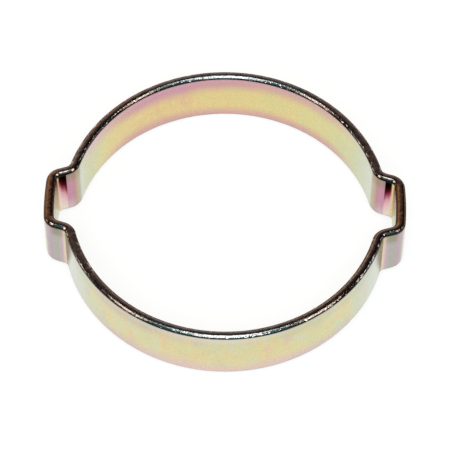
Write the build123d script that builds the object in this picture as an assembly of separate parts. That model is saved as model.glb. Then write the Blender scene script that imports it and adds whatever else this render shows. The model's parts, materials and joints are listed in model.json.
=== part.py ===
"""Two-ear hose clamp: one closed steel band with two ears that pincers squeeze shut.

Millimetres, +Z up. The origin is on the hose's axis, in the plane of the band's lower
rim, and the ears point along +X and -X. The clamp is open, as it is before it is fitted.
"""

from build123d import *

import os
from math import acos, degrees, sqrt

# The band is a slice of seamless tube, so it has no joint or overlap anywhere.
seat_diameter = 46.0  # inside, where the hose lies
band_thickness = 1.55
band_width = 9.75

# Tumbling rounds both rims nearly all the way across.
rim_flat = 0.25  # left along the middle of each rim
rim_round_down = 0.75  # how far down each wall the rounding goes

# The ears are all alike and evenly spaced round the band.
ear_count = 2
ear_rise = 2.75  # from the seat's circle out to the inner face of the crown's middle
ear_width = 11.2  # over the outer faces of its two shoulders
leg_splay = 0.2  # by which a leg's foot stands wider than its shoulder
foot_bend = 1.05  # inner radius of the bend between the seat and a leg
shoulder_bend = 0.9  # inner radius of the bend between a leg and the crown
crown_radius = 48.0  # inner radius of the crown, which is nearly flat

# The same bends along the middle of the thickness.
seat_line = (seat_diameter + band_thickness) / 2
foot_line = foot_bend + band_thickness / 2
shoulder_line = shoulder_bend + band_thickness / 2
crown_line = crown_radius + band_thickness / 2


def bend_centres():
    """Centres of the bends on the ear along +X: its crown, and the shoulder and foot above the X axis."""
    crown = Vector(seat_line + ear_rise - crown_line, 0)
    shoulder_y = ear_width / 2 - band_thickness - shoulder_bend
    shoulder_x = crown.X + sqrt((crown_line - shoulder_line) ** 2 - shoulder_y**2)
    foot_y = ear_width / 2 + leg_splay + foot_bend
    foot_x = sqrt((seat_line + foot_line) ** 2 - foot_y**2)
    return crown, Vector(shoulder_x, shoulder_y), Vector(foot_x, foot_y)


def leg_between(shoulder, foot):
    """The straight leg: it touches the bends round these two centres, with one on each side of it."""
    across = foot - shoulder
    turn = degrees(acos((shoulder_line + foot_line) / across.length))
    facing = across.normalized().rotate(Axis.Z, -turn)
    return Line(shoulder + facing * shoulder_line, foot - facing * foot_line)


def ear_and_seat():
    """Middle line of the ear along +X, then of the seat that leads round to the next ear."""
    crown, shoulder, foot = bend_centres()
    leg = leg_between(shoulder, foot)
    crown_end = crown + (shoulder - crown).normalized() * crown_line
    seat_end = foot.normalized() * seat_line
    side = [
        TangentArc(leg @ 0, crown_end, tangent=-(leg % 0)),
        leg,
        TangentArc(leg @ 1, seat_end, tangent=leg % 1),
    ]
    other_side = [edge.mirror(Plane.XZ) for edge in reversed(side)]
    crown_top = ThreePointArc(Vector(crown_end.X, -crown_end.Y), crown + Vector(crown_line, 0), crown_end)
    pitch = 360 / ear_count
    next_ear = Vector(seat_end.X, -seat_end.Y).rotate(Axis.Z, pitch)
    halfway = Vector(seat_line, 0).rotate(Axis.Z, pitch / 2)
    return [*other_side, crown_top, *side, ThreePointArc(seat_end, halfway, next_ear)]


def bent_line():
    """Middle line of the whole band, closed on itself, in the plane of the lower rim."""
    edges = ear_and_seat()
    turns = [360 / ear_count * turn for turn in range(ear_count)]
    return Wire([edge.rotate(Axis.Z, angle) for angle in turns for edge in edges])


def strip_section():
    """The strip cut across, its thickness along X and its width up Y, each corner a quarter of an ellipse."""
    side = rim_flat / 2
    round_across = band_thickness / 2 - side
    low, high = rim_round_down, band_width - rim_round_down
    centres = [(side, high), (-side, high), (-side, low), (side, low)]
    corners = [
        EllipticalCenterArc(centre, round_across, rim_round_down, start_angle=90 * turn, arc_size=90)
        for turn, centre in enumerate(centres)
    ]
    flats = [Line(corner @ 1, following @ 0) for corner, following in zip(corners, corners[1:] + corners[:1])]
    return make_face(corners + flats)


def clamp_band():
    """The strip's section carried once round the bent line: one solid, the same thickness all round."""
    path = bent_line()
    inward = Vector(0, 0, 1).cross(path % 0)
    start = Plane(path @ 0, x_dir=inward, z_dir=path % 0)
    return sweep(start * strip_section(), path)


os.makedirs("parts", exist_ok=True)
export_step(clamp_band(), "parts/clamp_band.step")
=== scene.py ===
"""Looks of the two-ear hose clamp: yellow zinc passivate over one bright steel band with dark, tumbled rims; the
upper rim's dark is partly painted reflection of a dark studio.

The band is drawn again as a smooth, finely divided sweep of the same section along the same bent
line, so that its bends and rounded rims reflect cleanly. Lengths are in millimetres until the mesh is made.

A place on the band is given by its station, which is the distance along the band from the nearest
crown's middle, and by its level, from 0 at the lower rim to 1 at the upper one.
"""

import json
from math import acos, atan2, cos, pi, sin, sqrt, tan

import bpy
import numpy as np
from mathutils import Matrix, Quaternion, Vector, noise


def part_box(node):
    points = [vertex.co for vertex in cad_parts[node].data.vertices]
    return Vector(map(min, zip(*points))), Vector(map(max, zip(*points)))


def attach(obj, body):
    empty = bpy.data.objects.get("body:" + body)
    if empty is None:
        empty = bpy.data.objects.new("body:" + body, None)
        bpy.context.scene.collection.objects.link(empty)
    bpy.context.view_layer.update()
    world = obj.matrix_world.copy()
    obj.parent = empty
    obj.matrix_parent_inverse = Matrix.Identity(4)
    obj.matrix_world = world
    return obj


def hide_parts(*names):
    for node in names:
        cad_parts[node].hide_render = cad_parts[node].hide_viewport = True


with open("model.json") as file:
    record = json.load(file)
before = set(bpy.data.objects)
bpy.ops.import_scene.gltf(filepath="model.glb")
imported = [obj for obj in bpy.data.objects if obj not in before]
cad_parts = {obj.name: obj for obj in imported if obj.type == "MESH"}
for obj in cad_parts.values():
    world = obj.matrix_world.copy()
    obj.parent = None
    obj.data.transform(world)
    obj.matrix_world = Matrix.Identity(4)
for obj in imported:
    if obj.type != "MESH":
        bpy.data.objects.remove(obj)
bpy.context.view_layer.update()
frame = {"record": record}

MM = 0.001

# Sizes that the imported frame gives.
cad_high = Vector(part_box("clamp_band")[1]) / MM
seat_mount = next(mount for mount in frame["record"]["mounts"] if mount["name"] == "hose_seat")
SEAT_RADIUS = seat_mount["dims"]["r_mm"]
WIDTH = cad_high.z
CROWN_REACH = cad_high.x  # from the axis to the crown's outer face

# Sizes of the section and of an ear, as the solid has them.
THICKNESS = 1.55
RIM_FLAT = 0.25
RIM_ACROSS = (THICKNESS - RIM_FLAT) / 2
RIM_DOWN = 0.75
EAR_WIDTH = 11.2
LEG_SPLAY = 0.2
FOOT_BEND = 1.05
SHOULDER_BEND = 0.9
CROWN_RADIUS = 48.0

# How finely the sweep is divided.
SEAT_STEP = 0.11
BEND_STEP = 0.09
WALL_ROWS = 4
ROUND_ROWS = 10
RIM_ROWS = 2

# Dents that tumbling leaves on the rims: how deep, and how far across. They begin at one height up the rim's
# rounding, where a wall is 0 and the rim's flat 1, and deepen from there at one rate.
DENTS = ((0.026, 1.5), (0.014, 0.55), (0.007, 0.28))
DENT_START = 0.1
DENT_RATE = 1.3

# The photograph's view of the middle of the band.
IMAGE_SIZE = 452
CAMERA_DISTANCE = 399.7
CAMERA_ELEVATION = 0.97259
CAMERA_AZIMUTH = 0.01776
CAMERA_ROLL = 0.00606
FOCAL_PIXELS = 2627.8
SENSOR_WIDTH = 36.0
CENTRE_PIXEL = (224.98, 218.08)
CLIP_START_METRES = 0.01

# Lamps stand at this distance, in metres. Each has the direction of its middle, the angles that it covers, its
# turn about that direction, its radiance and its colour.
SOFTBOX_DISTANCE = 0.9
PLAIN, WARM = (1.0, 1.0, 1.0), (1.0, 0.90, 0.79)
SOFTBOXES = (
    ("overhead_softbox", (0.0, -0.11, 1.0), 0.40, 0.50, 0.0, 6.8, PLAIN),
    ("front_softbox", (0.0, -0.61, 0.79), 0.40, 0.59, 0.0, 6.8, PLAIN),
    ("left_lamp", (-0.632, -0.307, 0.71), 0.19, 0.80, 0.36, 6.5, WARM),
    ("right_lamp", (0.632, -0.307, 0.71), 0.19, 0.80, -0.36, 6.5, WARM),
    ("left_strip", (-0.96, 0.02, 0.30), 0.16, 0.40, 0.0, 2.2, PLAIN),
    ("right_strip", (0.96, 0.02, 0.30), 0.16, 0.40, 0.0, 1.2, PLAIN),
)

# What the metal sees of the studio round it.
ROOM_DARK = (0.030, 0.030, 0.034)
ROOM_ROSE = (1.25, 0.98, 0.88)
ROOM_BROWN = (1.30, 0.92, 0.66)
ROOM_TEAL = (0.16, 0.54, 0.58)
ROOM_WHITE = (1.0, 1.0, 1.0)

# The floor reaches this far each way, in metres. Its own white shows to the camera and in the metal, over a grey
# that takes the band's shadow.
FLOOR_REACH = 3.0
FLOOR_GLOW = 0.785
FLOOR_GREY = 0.17


def turned(vector, angle):
    """A flat vector turned anticlockwise."""
    x, y = vector
    return np.array([x * cos(angle) - y * sin(angle), x * sin(angle) + y * cos(angle)])


def arc(centre, radius, start, end, step, outward):
    """Points and outward normals along an arc; outward is -1 where its centre is outside the band."""
    count = max(3, round(abs(end - start) * radius / step))
    angles = np.linspace(start, end, count + 1)
    spokes = np.stack([np.cos(angles), np.sin(angles)], -1)
    return centre + radius * spokes, outward * spokes


def quarter_line():
    """Points and normals of the middle line from the crown's middle on +X to the seat's middle on +Y."""
    half = THICKNESS / 2
    crown_line, shoulder_line, foot_line = CROWN_RADIUS + half, SHOULDER_BEND + half, FOOT_BEND + half
    seat_line = SEAT_RADIUS + half
    crown = np.array([CROWN_REACH - half - crown_line, 0.0])
    shoulder_y = EAR_WIDTH / 2 - THICKNESS - SHOULDER_BEND
    shoulder = np.array([crown[0] + sqrt((crown_line - shoulder_line) ** 2 - shoulder_y**2), shoulder_y])
    foot_y = EAR_WIDTH / 2 + LEG_SPLAY + FOOT_BEND
    foot = np.array([sqrt((seat_line + foot_line) ** 2 - foot_y**2), foot_y])
    across = foot - shoulder
    span = np.hypot(*across)
    facing = turned(across / span, -acos((shoulder_line + foot_line) / span))
    leg_angle = atan2(facing[1], facing[0])
    crown_angle = atan2(*(shoulder - crown)[::-1])
    foot_angle = atan2(foot[1], foot[0])
    leg_ends = np.array([shoulder + facing * shoulder_line, foot - facing * foot_line])
    count = round(np.hypot(*(leg_ends[1] - leg_ends[0])) / BEND_STEP)
    along = np.linspace(0, 1, count + 1)[:, None]
    leg = leg_ends[0] + along * (leg_ends[1] - leg_ends[0]), np.tile(facing, (count + 1, 1))
    pieces = [
        arc(crown, crown_line, 0, crown_angle, BEND_STEP, 1),
        arc(shoulder, shoulder_line, crown_angle, leg_angle, BEND_STEP, 1),
        leg,
        arc(foot, foot_line, leg_angle + pi, foot_angle + pi, BEND_STEP, -1),
        arc(np.zeros(2), seat_line, foot_angle, pi / 2, SEAT_STEP, 1),
    ]
    points = np.concatenate([pieces[0][0]] + [piece[0][1:] for piece in pieces[1:]])
    normals = np.concatenate([pieces[0][1]] + [piece[1][1:] for piece in pieces[1:]])
    return points, normals


def whole_line():
    """The closed middle line: its points, their outward normals and their stations."""
    points, normals = quarter_line()
    station = np.r_[0, np.cumsum(np.hypot(*np.diff(points, axis=0).T))]
    loop = []
    for quarter, (flip_x, flip_y) in enumerate(((1, 1), (-1, 1), (-1, -1), (1, -1))):
        kept = slice(0, -1) if quarter % 2 == 0 else slice(None, 0, -1)
        flip = np.array([flip_x, flip_y])
        loop.append((points[kept] * flip, normals[kept] * flip, station[kept]))
    return tuple(np.concatenate([part[i] for part in loop]) for i in range(3))


def section_loop():
    """The section's outline as (across, up, edge): edge is 0 on a wall and 1 on the flat of a rim."""
    side, low, high = RIM_FLAT / 2, RIM_DOWN, WIDTH - RIM_DOWN
    rows = []
    corners = (((side, high), 0), ((-side, high), 1), ((-side, low), 2), ((side, low), 3))
    for (across, up), turn in corners:
        for row in range(ROUND_ROWS):
            angle = (turn + row / ROUND_ROWS) * pi / 2
            rows.append((across + RIM_ACROSS * cos(angle), up + RIM_DOWN * sin(angle), abs(sin(angle))))
        end = (turn + 1) * pi / 2
        last = np.array([across + RIM_ACROSS * cos(end), up + RIM_DOWN * sin(end)])
        following = corners[(turn + 1) % 4][0]
        first = np.array([following[0] + RIM_ACROSS * cos(end), following[1] + RIM_DOWN * sin(end)])
        count = RIM_ROWS if turn % 2 == 0 else WALL_ROWS
        rows += [(*(last + (first - last) * row / count), abs(sin(end))) for row in range(count)]
    return np.array(rows)


def dent(place, edge):
    """How far a rim's skin lies below its true form at a place, in millimetres: small dents, none on the walls."""
    if edge < DENT_START:
        return 0.0
    depth = sum(depth * noise.noise(place / size + Vector((size, 3, 1))) for depth, size in DENTS)
    return abs(depth) * min(1.0, edge * DENT_RATE)


def make_band():
    """The band's mesh: a grid of quads, one row per point of the line and one column per point of the section."""
    points, normals, station = whole_line()
    section = section_loop()
    rows, columns = len(points), len(section)
    across, up, edge = section.T
    flat = points[:, None, :] + normals[:, None, :] * across[None, :, None]
    places = np.concatenate([flat, np.broadcast_to(up[None, :, None], (rows, columns, 1))], -1).reshape(-1, 3)
    tilt = np.hypot(np.gradient(across), np.gradient(up))
    lean = np.stack([np.gradient(up) / tilt, -np.gradient(across) / tilt], -1)
    skin = np.concatenate([
        normals[:, None, :] * lean[None, :, :1],
        np.broadcast_to(lean[None, :, 1:], (rows, columns, 1)),
    ], -1).reshape(-1, 3)
    edges = np.tile(edge, rows)
    depth = np.array([dent(Vector(place), e) for place, e in zip(places, edges)])
    places = places - skin * depth[:, None]
    index = np.arange(rows * columns).reshape(rows, columns)
    onward, upward = np.roll(index, -1, 0), np.roll(index, -1, 1)
    faces = np.stack([index, onward, np.roll(onward, -1, 1), upward], -1).reshape(-1, 4)
    mesh = bpy.data.meshes.new("clamp_band_skin")
    mesh.from_pydata(places * MM, [], faces.tolist())
    mesh.shade_smooth()
    along = np.r_[0, np.cumsum(np.hypot(*np.diff(points, axis=0).T))]
    values = {
        "along": np.repeat(along, columns),
        "station": np.repeat(station, columns),
        "level": np.tile(up / WIDTH, rows),
        "outward": np.tile(across / (THICKNESS / 2), rows),
        "edge": edges,
    }
    for name, value in values.items():
        mesh.attributes.new(name, "FLOAT", "POINT").data.foreach_set("value", value.astype(np.float32))
    band = bpy.data.objects.new("clamp_band_skin", mesh)
    bpy.context.collection.objects.link(band)
    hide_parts("clamp_band")
    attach(band, "root")
    return band


class Nodes:
    """A node tree, with short calls for the nodes that this script uses."""

    def __init__(self, owner):
        owner.use_nodes = True
        self.tree = owner.node_tree
        self.tree.nodes.clear()

    def add(self, kind, inputs=None, **settings):
        node = self.tree.nodes.new("ShaderNode" + kind)
        for name, value in settings.items():
            setattr(node, name, value)
        for name, value in (inputs or {}).items():
            self.feed(node.inputs[name], value)
        return node

    def feed(self, socket, value):
        if isinstance(value, bpy.types.NodeSocket):
            self.tree.links.new(value, socket)
        elif socket.type == "RGBA":
            socket.default_value = (*value[:3], 1.0)
        else:
            socket.default_value = value

    def attribute(self, name):
        return self.add("Attribute", attribute_name=name).outputs["Fac"]

    def axes(self, vector):
        """The three numbers of a vector."""
        return tuple(self.add("SeparateXYZ", {0: vector}).outputs)

    def math(self, operation, *values, clamp=False):
        node = self.add("Math", operation=operation, use_clamp=clamp)
        for socket, value in zip(node.inputs, values):
            self.feed(socket, value)
        return node.outputs[0]

    def product(self, first, *others):
        for other in others:
            first = self.math("MULTIPLY", first, other)
        return first

    def plus(self, base, value, factor):
        """base with value, times factor, added to it."""
        return self.math("MULTIPLY_ADD", value, factor, base)

    def opposite(self, value):
        """1 where value is 0, and 0 where it is 1."""
        return self.math("SUBTRACT", 1.0, value)

    def between(self, value, low, high, to_low=0.0, to_high=1.0):
        """value taken smoothly from low..high to to_low..to_high and held at both ends."""
        node = self.add("MapRange", interpolation_type="SMOOTHSTEP")
        stops = (value, low, high, to_low, to_high)
        for name, given in zip(("Value", "From Min", "From Max", "To Min", "To Max"), stops):
            self.feed(node.inputs[name], given)
        return node.outputs["Result"]

    def window(self, value, rise, full, fade, gone):
        """1 between full and fade, 0 below rise and above gone."""
        return self.product(self.between(value, rise, full), self.between(value, gone, fade))

    def noise(self, place, name):
        """One of the NOISES at a place, about 0 and within about -0.5 to 0.5."""
        size, upright, detail, roughness = NOISES[name]
        if upright != 1.0:
            squeeze = {0: place, 1: (1.0, 1.0, upright)}
            place = self.add("VectorMath", squeeze, operation="MULTIPLY").outputs["Vector"]
        inputs = {"Vector": place, "Scale": 1 / (size * MM), "Detail": detail, "Roughness": roughness}
        return self.math("SUBTRACT", self.add("TexNoise", inputs).outputs["Fac"], 0.5)

    def ramp(self, value, stops):
        """The colour at value, through (place, colour) stops in rising order."""
        node = self.add("ValToRGB", {"Fac": value})
        ramp = node.color_ramp
        ramp.interpolation = "LINEAR"
        ramp.elements.remove(ramp.elements[-1])
        ramp.elements[0].position = stops[0][0]
        for place, _ in stops[1:]:
            ramp.elements.new(place)
        for element, (_, colour) in zip(ramp.elements, stops):
            element.color = (*colour, 1.0)
        return node.outputs["Color"]

    def profile(self, value, reach, stops):
        """A curve through (value, result) stops, given over 0..reach, with results of 0 to 1."""
        return self.ramp(self.math("DIVIDE", value, reach), [(at / reach, (level,) * 3) for at, level in stops])

    def scaled(self, colour, factor):
        return self.add("VectorMath", {0: colour, "Scale": factor}, operation="SCALE").outputs["Vector"]

    def mix(self, factor, a, b, kind="RGBA"):
        """The colour a where factor is 0, and b where it is 1."""
        node = self.add("Mix", data_type=kind)
        sockets = [socket for socket in node.inputs if socket.enabled]
        for socket, value in zip(sockets, (factor, a, b)):
            self.feed(socket, value)
        return next(socket for socket in node.outputs if socket.enabled)

    def choose(self, factor, a, b):
        """The number a where factor is 0, and b where it is 1."""
        return self.mix(factor, a, b, "FLOAT")

    def lay(self, colour, mark, *masks, share=None):
        """A mark's colour laid over another where every mask is 1, at most by share."""
        factors = masks if share is None else (*masks, share)
        return self.mix(self.product(*factors), colour, mark)


def linear(red, green, blue):
    """A colour given as 0 to 255 in sRGB, as the linear values that Blender works in."""
    return tuple(
        v / 12.92 if v <= 0.04045 else ((v + 0.055) / 1.055) ** 2.4 for v in (red / 255, green / 255, blue / 255)
    )


# Colours of the passivate as its film grows, from silvery through straw and pink to a second green.
FILM_COLOURS = [
    (0.00, linear(212, 219, 211)),
    (0.15, linear(204, 208, 192)),
    (0.30, linear(204, 206, 164)),
    (0.42, linear(216, 206, 146)),
    (0.50, linear(222, 200, 140)),
    (0.58, linear(217, 184, 146)),
    (0.66, linear(209, 166, 154)),
    (0.74, linear(203, 152, 160)),
    (0.84, linear(197, 142, 165)),
    (0.93, linear(188, 164, 172)),
    (1.00, linear(166, 180, 148)),
]

# Film on the inner and the outer wall, by station. No station is as far as LINE_REACH.
LINE_REACH = 40.0
INNER_FILM = [(0, 0.34), (3.3, 0.36), (4.1, 0.50), (4.8, 0.56), (5.6, 0.74), (6.3, 0.84), (6.9, 0.79), (7.3, 0.64),
              (7.7, 0.30), (8.2, 0.17), (9.5, 0.19), (12, 0.24), (16, 0.33), (22, 0.42), (30, 0.45), (40, 0.45)]
OUTER_FILM = [(0, 0.05), (3.7, 0.08), (4.2, 0.93), (4.8, 0.86), (5.2, 0.96), (5.8, 0.99), (6.2, 0.90), (6.7, 0.70),
              (7.2, 0.58), (7.8, 0.44), (8.6, 0.30), (9.6, 0.08), (13, 0.17), (17, 0.33), (23, 0.40), (30, 0.41),
              (40, 0.42)]

# Painted shade in the inner corners of the ears: a dark reflection that runs from its pale foot up to the rim. It
# starts softly, at one station on the right ear and another on the left, and ends crisply. It leans, so that it
# reaches lower towards its end, and flickers up and down.
CORNER_SHADE_RIGHT_START, CORNER_SHADE_LEFT_START = 4.55, 4.1
CORNER_SHADE_SOFTNESS = 0.5
CORNER_SHADE_END = (6.02, 6.18)
CORNER_SHADE_MIDDLE, CORNER_SHADE_LEAN = 5.5, 0.13
CORNER_SHADE_FLICKER = 0.16
CORNER_SHADE_COLOURS = [
    (0.10, linear(232, 214, 202)),
    (0.30, linear(228, 196, 188)),
    (0.38, linear(224, 180, 190)),
    (0.49, linear(214, 156, 166)),
    (0.56, linear(180, 112, 110)),
    (0.63, linear(146, 62, 90)),
    (0.70, linear(108, 26, 46)),
    (0.76, linear(62, 28, 24)),
    (0.82, linear(34, 22, 12)),
    (0.90, linear(18, 12, 8)),
]

SILVER = linear(216, 218, 212)
AQUA = linear(196, 212, 200)
BLUSH = linear(212, 184, 182)
OLIVE = linear(150, 142, 104)
DULL_ROSE = linear(196, 170, 158)
CREAM = linear(226, 210, 190)
PEACH = linear(230, 200, 184)
LOW_ROSE = linear(208, 163, 156)
# Painted reflection of the leg, laid as an olive wedge beside each foot.
PAINTED_LEG_REFLECTION = linear(130, 112, 62)
RIM_BLACK = linear(44, 41, 41)
# Painted shade on the upper rim's rounding towards the walls.
RIM_PAINTED_SHADE = linear(68, 60, 58)
# The upper rim's grey, cool and coppery metal, dark partly as painted reflection of a dark studio.
RIM_GREY = linear(120, 107, 102)
RIM_COOL = linear(112, 112, 111)
RIM_COPPER = linear(142, 112, 90)
RIM_BRIGHT = linear(236, 234, 228)
LOWER_RIM = linear(140, 130, 134)

# Noises: the size of their lumps in millimetres, by how much their height is squeezed, which draws lumps out
# upright, their detail and their roughness.
NOISES = {
    "patches": (14.0, 1.0, 2.0, 0.5),
    "clouds": (4.0, 0.65, 4.0, 0.62),
    "tints": (2.6, 0.60, 4.0, 0.66),
    "streaks": (0.34, 0.10, 1.0, 0.5),
    "specks": (0.45, 1.0, 2.0, 0.7),
    "flicker": (0.45, 0.06, 2.0, 0.5),
    "brushing": (0.22, 0.12, 2.0, 0.5),
    "rim_tint": (7.0, 1.0, 2.0, 0.5),
    "rim_grain": (0.7, 1.0, 2.0, 0.5),
    "rim_pits": (0.30, 1.0, 2.0, 0.5),
    "fine_pits": (0.16, 1.0, 1.0, 0.5),
    "dots": (0.27, 1.0, 1.0, 0.5),
}

# Where marks lie along the band: the stations at which one begins, is full, begins to fade and is gone.
PALE_FOOT = (4.4, 5.0, 6.6, 8.0)
OLIVE_UNDER_RIM = (4.6, 5.2, 7.6, 8.4)
INNER_BEND, OUTER_BEND = (7.1, 7.4, 7.8, 8.1), (6.4, 6.9, 7.4, 7.7)
INNER_SHADE, OUTER_SHADE = (6.6, 7.2, 7.8, 8.4), (3.9, 4.3, 5.8, 6.5)
SEAT_SHADE = (9.0, 14.0, 27.0, 36.0)
ROUGH_LEG = (4.3, 5.0, 7.3, 8.2)

# The olive wedge beside each foot, a painted reflection of the leg, ends at this station below, and by so much
# further away above.
WEDGE_END, WEDGE_SLANT = 8.0, 3.2

# The seat's bands change from right to left over this far each side of the middle, and patches push them up and
# down by this share of the band's width.
DRIFT_REACH = 14.0
RAGGEDNESS = 0.26

# How far up its rounding the upper rim turns dark, a colour that is partly painted reflection, on the crowns and
# on the seat, and how softly. Its bright dots are drawn out along it by squeezing the noise.
CROWN_RIM_START, SEAT_RIM_START = 0.18, 0.34
RIM_SOFTNESS = 0.20
DOT_SQUEEZE = 0.36

# Roughness of the walls, the dark rims and their bright dots, and what fine pits add to each.
WALL_ROUGHNESS, RIM_ROUGHNESS, DOT_ROUGHNESS = 0.26, 0.10, 0.44
PIT_ROUGHNESS = 0.10

# Bump of the walls, the rims and the rims of the legs, with the depth that a strength of 1 stands for.
WALL_BUMP, RIM_BUMP, LEG_BUMP = 0.12, 0.60, 0.15
BUMP_DEPTH = 0.03

# Tint of the reflections at a glancing angle: none on the bare film, and dim on the rims and on the painted corner
# shade.
DIM_GLANCE = (0.30, 0.26, 0.24)


class Skin:
    """What the metal's nodes read at each point of the band.

    leftward is 0 on the right and 1 on the left, and ragged is the level, pushed up and down by patches.
    """

    def __init__(self, n):
        self.place = n.add("TexCoord").outputs["Object"]
        self.right = n.axes(self.place)[0]
        names = ("along", "station", "level", "outward", "edge")
        self.along, self.station, self.level, self.outward, self.edge = map(n.attribute, names)
        self.is_outer = n.math("GREATER_THAN", self.outward, 0.0)
        self.is_inner = n.opposite(self.is_outer)
        self.is_upper = n.math("GREATER_THAN", self.level, 0.5)
        self.leftward = n.between(self.right, DRIFT_REACH * MM, -DRIFT_REACH * MM)
        self.clouds = n.noise(self.place, "clouds")
        self.ragged = n.plus(self.level, n.noise(self.place, "patches"), RAGGEDNESS)


def film_on_walls(n, at):
    """How thick the film is on the walls, 0 to 1: thin beside the ears, cloudy and finely streaked on the seat."""
    inside = n.profile(at.station, LINE_REACH, INNER_FILM)
    outside = n.profile(at.station, LINE_REACH, OUTER_FILM)
    cloudy = n.product(at.clouds, n.choose(at.is_outer, 0.26, 0.60), n.between(at.station, 8.6, 17.0))
    streaky = n.product(n.noise(at.place, "streaks"), n.choose(n.between(at.station, 9.0, 19.0), 0.03, 0.12))
    thicker_left = n.product(at.is_inner, at.leftward, n.between(at.station, 8.6, 10.0))
    uneven = n.math("ADD", cloudy, n.plus(streaky, thicker_left, 0.08))
    return n.math("ADD", n.choose(at.is_outer, inside, outside), uneven, clamp=True)


def bands_on_seat(n, at):
    """1 in the band along the seat's upper edge, which starts nearer the ear on the left, and in the lower one."""
    high = n.plus(at.ragged, n.math("SUBTRACT", at.leftward, 1.0), 0.11)
    high = n.math("ADD", high, n.between(at.station, 12.0, 26.0, -0.05, 0.0))
    full = n.choose(at.leftward, 21.0, 13.0)
    top = n.product(n.between(high, 0.54, 0.90), n.between(at.station, 7.0, full))
    low = n.product(n.between(at.ragged, 0.33, 0.06), n.between(at.station, 12.0, 23.0))
    return top, low


def wall_colour(n, at):
    """The film's colours on the walls: pink bands inside, and outside pale patches under blushing edges."""
    colour = n.ramp(film_on_walls(n, at), FILM_COLOURS)
    top, low = bands_on_seat(n, at)

    top_film = n.between(at.station, 14.0, 30.0, 0.66, n.choose(at.leftward, 0.74, 0.80))
    pink = n.ramp(n.math("ADD", top_film, n.product(at.clouds, 0.20)), FILM_COLOURS)
    colour = n.lay(colour, n.mix(n.between(at.station, 22.0, 11.0), pink, BLUSH), at.is_inner, top)
    colour = n.lay(colour, LOW_ROSE, at.is_inner, low)

    colour = n.lay(colour, SILVER, at.is_outer, n.between(at.station, 7.6, 6.4, 0.10, 0.34))
    tints = n.noise(at.place, "tints")
    tinted = n.product(at.is_outer, n.between(at.station, 8.6, 14.0))
    colour = n.lay(colour, AQUA, tinted, n.between(tints, -0.02, 0.28), share=0.74)
    colour = n.lay(colour, BLUSH, tinted, n.between(tints, 0.02, -0.28), share=0.66)
    top_blush = n.product(top, n.between(at.station, 16.0, 21.0), at.leftward, 0.45)
    colour = n.lay(colour, BLUSH, at.is_outer, n.math("MAXIMUM", n.product(low, 0.85), top_blush))
    lower, halfway = n.between(at.ragged, 0.42, 0.05), n.between(at.station, 24.0, 34.0)
    colour = n.lay(colour, PEACH, at.is_outer, lower, halfway, share=0.45)

    share = n.choose(at.is_outer, 0.15, 0.45)
    under_rim, off_ears = n.between(at.level, 0.80, 0.95), n.between(at.station, 8.0, 12.0)
    return n.lay(colour, SILVER, under_rim, off_ears, share=share)


def mark_ears(n, at, colour):
    """Silver, olive, rose and cream film on the crowns, legs and foot bends; a painted leg reflection beside each
    foot.
    """
    foot = n.window(at.station, *PALE_FOOT)
    colour = n.lay(colour, SILVER, at.is_inner, foot, n.between(at.level, 0.40, 0.08), share=0.45)
    crown = n.between(at.station, 4.3, 3.8)
    colour = n.lay(colour, OLIVE, at.is_inner, crown, n.between(at.level, 0.15, 0.75), share=0.75)
    under_rim = n.between(at.level, 0.68, 0.86)
    colour = n.lay(colour, OLIVE, under_rim, n.window(at.station, *OLIVE_UNDER_RIM), share=0.60)
    bend = n.choose(at.is_outer, n.window(at.station, *INNER_BEND), n.window(at.station, *OUTER_BEND))
    colour = n.lay(colour, n.mix(at.is_outer, DULL_ROSE, CREAM), bend, share=0.55)
    # Beside each foot, an olive wedge of painted reflection of the leg.
    past_wedge = n.math("SUBTRACT", at.station, n.plus(WEDGE_END, at.level, WEDGE_SLANT))
    from_leg, to_wedge_end = n.between(at.station, 7.4, 7.9), n.between(past_wedge, 1.3, -1.3)
    return n.lay(colour, PAINTED_LEG_REFLECTION, at.is_outer, from_leg, to_wedge_end, share=0.92)


def shade_walls(n, at, colour):
    """The colour darker in the bends of the ears and below the outer upper edge, with specks and faint clouds."""
    bend = n.choose(at.is_outer, n.window(at.station, *INNER_SHADE), n.window(at.station, *OUTER_SHADE))
    light = n.plus(n.plus(1.0, bend, -0.17), n.noise(at.place, "specks"), 0.16)
    upper_edge = n.product(at.is_outer, n.between(at.level, 0.66, 0.90), n.window(at.station, *SEAT_SHADE))
    light = n.plus(light, upper_edge, -0.10)
    return n.scaled(colour, n.plus(light, at.clouds, 0.10))


def painted_corner_shade(n, at, colour):
    """Painted shade in the inner corners of the ears: black at the rim, crimson below, with a crisp side by the
    foot.

    Also gives 1 where it is darkest.
    """
    lean = n.product(n.math("SUBTRACT", at.station, CORNER_SHADE_MIDDLE), CORNER_SHADE_LEAN)
    height = n.math("ADD", n.plus(at.level, n.noise(at.place, "flicker"), CORNER_SHADE_FLICKER), lean)
    start = n.choose(n.math("LESS_THAN", at.right, 0.0), CORNER_SHADE_RIGHT_START, CORNER_SHADE_LEFT_START)
    shaded_span = n.window(at.station, start, n.math("ADD", start, CORNER_SHADE_SOFTNESS), *CORNER_SHADE_END)
    corner = n.product(shaded_span, at.is_inner)
    return n.mix(corner, colour, n.ramp(height, CORNER_SHADE_COLOURS)), n.product(corner, n.between(height, 0.50, 0.75))


def worn_dots(n, at):
    """1 in separate bright dots where tumbling rubbed the rims' shoulders bare, fewer away from the ears."""
    unrolled = {0: n.product(at.along, DOT_SQUEEZE), 1: at.outward, 2: n.product(at.level, WIDTH)}
    place = n.scaled(n.add("CombineXYZ", unrolled).outputs["Vector"], MM)
    dots = n.math("ADD", n.noise(place, "dots"), n.between(at.station, 19.0, 14.0, -0.05, 0.0))
    on_shoulder = n.product(n.window(at.edge, 0.52, 0.62, 0.86, 0.97), n.between(at.station, 7.0, 8.4))
    return n.product(n.between(dots, 0.08, 0.12), on_shoulder)


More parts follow.
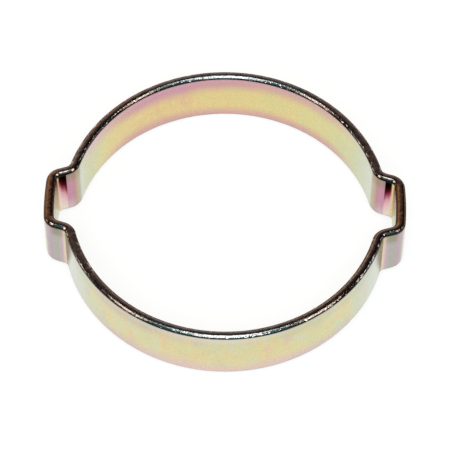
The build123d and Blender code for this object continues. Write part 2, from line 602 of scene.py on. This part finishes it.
def rim_colour(n, at, worn):
    """Dark metal on the upper rim, partly painted reflection of a dark studio: cool halfway between the ears,
    coppery on the crowns, with painted shade towards the walls, pits and dots.
    """
    cooler = n.plus(at.station, n.noise(at.place, "rim_tint"), 16.0)
    coppery = n.plus(at.station, n.noise(at.place, "rim_grain"), 1.0)
    colour = n.mix(n.between(cooler, 20.0, 30.0), RIM_GREY, RIM_COOL)
    colour = n.lay(colour, RIM_COPPER, n.between(coppery, 5.0, 3.4))
    # Painted shade on the rounding towards the walls, where it would reflect the bright floor.
    colour = n.lay(colour, RIM_PAINTED_SHADE, n.between(at.edge, 0.80, 0.55))
    colour = n.lay(colour, RIM_BLACK, n.between(n.noise(at.place, "rim_pits"), -0.04, -0.18), share=0.6)
    return n.lay(colour, RIM_BRIGHT, worn)


def finish_metal(band):
    """Bright steel under an uneven film that changes colour with its thickness, and dark rims, partly painted
    reflection.
    """
    material = bpy.data.materials.new("zinc_passivate")
    n = Nodes(material)
    at = Skin(n)

    colour = shade_walls(n, at, mark_ears(n, at, wall_colour(n, at)))
    # Painted shade in the inner corners of the ears, and where that shade is darkest.
    colour, darkest_corner_shade = painted_corner_shade(n, at, colour)
    colour = n.lay(colour, LOWER_RIM, n.between(at.edge, 0.05, 0.45), n.opposite(at.is_upper))
    rim_start = n.between(at.station, 4.0, 9.0, CROWN_RIM_START, SEAT_RIM_START)
    rim_full = n.math("ADD", rim_start, RIM_SOFTNESS)
    on_rim = n.product(n.between(at.edge, rim_start, rim_full), at.is_upper)
    worn = worn_dots(n, at)
    colour = n.mix(on_rim, colour, rim_colour(n, at, worn))

    pits = n.noise(at.place, "fine_pits")
    smooth = n.choose(on_rim, WALL_ROUGHNESS, n.choose(worn, RIM_ROUGHNESS, DOT_ROUGHNESS))
    rim_bump = n.choose(n.window(at.station, *ROUGH_LEG), RIM_BUMP, LEG_BUMP)
    bump = n.add("Bump", {
        "Height": n.choose(on_rim, n.noise(at.place, "brushing"), pits),
        "Strength": n.choose(on_rim, WALL_BUMP, rim_bump),
        "Distance": BUMP_DEPTH * MM,
    })

    shader = n.add("BsdfPrincipled", {
        "Base Color": colour,
        "Metallic": 1.0,
        "Specular Tint": n.mix(n.math("MAXIMUM", on_rim, darkest_corner_shade), PLAIN, DIM_GLANCE),
        "Roughness": n.plus(smooth, pits, PIT_ROUGHNESS),
        "Normal": bump.outputs["Normal"],
    })
    n.add("OutputMaterial", {"Surface": shader.outputs["BSDF"]})
    band.data.materials.append(material)


def make_floor():
    """A large plain white floor that keeps the band's soft shadow."""
    mesh = bpy.data.meshes.new("studio_floor")
    corners = [(FLOOR_REACH * x, FLOOR_REACH * y, 0) for x, y in ((-1, -1), (1, -1), (1, 1), (-1, 1))]
    mesh.from_pydata(corners, [], [(0, 1, 2, 3)])
    floor = bpy.data.objects.new("studio_floor", mesh)
    bpy.context.collection.objects.link(floor)
    material = bpy.data.materials.new("studio_white")
    n = Nodes(material)
    rays = n.add("LightPath")
    seen = n.math("MAXIMUM", rays.outputs["Is Camera Ray"], rays.outputs["Is Glossy Ray"])
    seen = n.math("MAXIMUM", seen, rays.outputs["Is Transmission Ray"])
    glow = n.add("Emission", {"Color": PLAIN, "Strength": n.product(seen, FLOOR_GLOW)})
    matt = n.add("BsdfDiffuse", {"Color": (FLOOR_GREY,) * 3})
    both = n.add("AddShader")
    n.feed(both.inputs[0], matt.outputs[0])
    n.feed(both.inputs[1], glow.outputs[0])
    n.add("OutputMaterial", {"Surface": both.outputs[0]})
    mesh.materials.append(material)


def make_world():
    """The studio: white below the horizon, warm behind and browner to the left, teal high in front, else dark."""
    world = bpy.data.worlds.new("studio")
    bpy.context.scene.world = world
    n = Nodes(world)
    right, back, up = n.axes(n.add("TexCoord").outputs["Generated"])
    side = n.math("SUBTRACT", back, n.product(right, 0.5))
    behind = n.product(n.between(side, 0.35, 0.95), n.between(back, 0.0, 0.40))
    warm = n.product(behind, n.between(up, 1.15, 0.50), n.between(right, -1.10, -0.30))
    middle = n.between(n.math("ABSOLUTE", right), 0.75, 0.35)
    teal = n.product(n.between(back, 0.10, -0.20), middle, n.between(up, 0.20, 0.50))
    tone = n.mix(n.between(right, 0.05, -0.35), ROOM_ROSE, ROOM_BROWN)
    colour = n.mix(warm, n.mix(teal, ROOM_DARK, ROOM_TEAL), tone)
    colour = n.mix(n.between(up, 0.06, 0.02), colour, ROOM_WHITE)
    background = n.add("Background", {"Color": colour})
    n.add("OutputWorld", {"Surface": background.outputs[0]})


def make_softbox(name, towards, across, along, turn, radiance, colour):
    """An area lamp that faces the band from one direction and covers the given angles, level and upright."""
    lamp = bpy.data.lights.new(name, "AREA")
    lamp.shape = "RECTANGLE"
    lamp.size = 2 * SOFTBOX_DISTANCE * tan(across / 2)
    lamp.size_y = 2 * SOFTBOX_DISTANCE * tan(along / 2)
    lamp.color = colour
    lamp.energy = radiance * pi * lamp.size * lamp.size_y
    holder = bpy.data.objects.new(name, lamp)
    holder.location = Vector(towards).normalized() * SOFTBOX_DISTANCE
    facing = Vector(towards).to_track_quat("Z", "Y")
    holder.rotation_euler = (facing @ Quaternion((0, 0, 1), turn)).to_euler()
    bpy.context.collection.objects.link(holder)


def make_camera():
    """The photograph's view: a long lens that looks down on the front of the band."""
    flat = cos(CAMERA_ELEVATION)
    back = Vector((sin(CAMERA_AZIMUTH) * flat, -cos(CAMERA_AZIMUTH) * flat, sin(CAMERA_ELEVATION)))
    level_right = Vector((cos(CAMERA_AZIMUTH), sin(CAMERA_AZIMUTH), 0))
    level_up = back.cross(level_right)
    right = cos(CAMERA_ROLL) * level_right + sin(CAMERA_ROLL) * level_up
    up = back.cross(right)
    lens = bpy.data.cameras.new("photo_view")
    lens.sensor_width = SENSOR_WIDTH
    lens.lens = FOCAL_PIXELS * SENSOR_WIDTH / IMAGE_SIZE
    lens.shift_x = (IMAGE_SIZE / 2 - CENTRE_PIXEL[0]) / IMAGE_SIZE
    lens.shift_y = (CENTRE_PIXEL[1] - IMAGE_SIZE / 2) / IMAGE_SIZE
    lens.clip_start = CLIP_START_METRES
    camera = bpy.data.objects.new("photo_view", lens)
    place = Vector((0, 0, WIDTH / 2 * MM)) + back * CAMERA_DISTANCE * MM
    camera.matrix_world = Matrix.Translation(place) @ Matrix((right, up, back)).transposed().to_4x4()
    bpy.context.collection.objects.link(camera)
    bpy.context.scene.camera = camera


finish_metal(make_band())
make_floor()
make_world()
for softbox in SOFTBOXES:
    make_softbox(*softbox)
make_camera()
bpy.context.scene.view_settings.view_transform = "Standard"
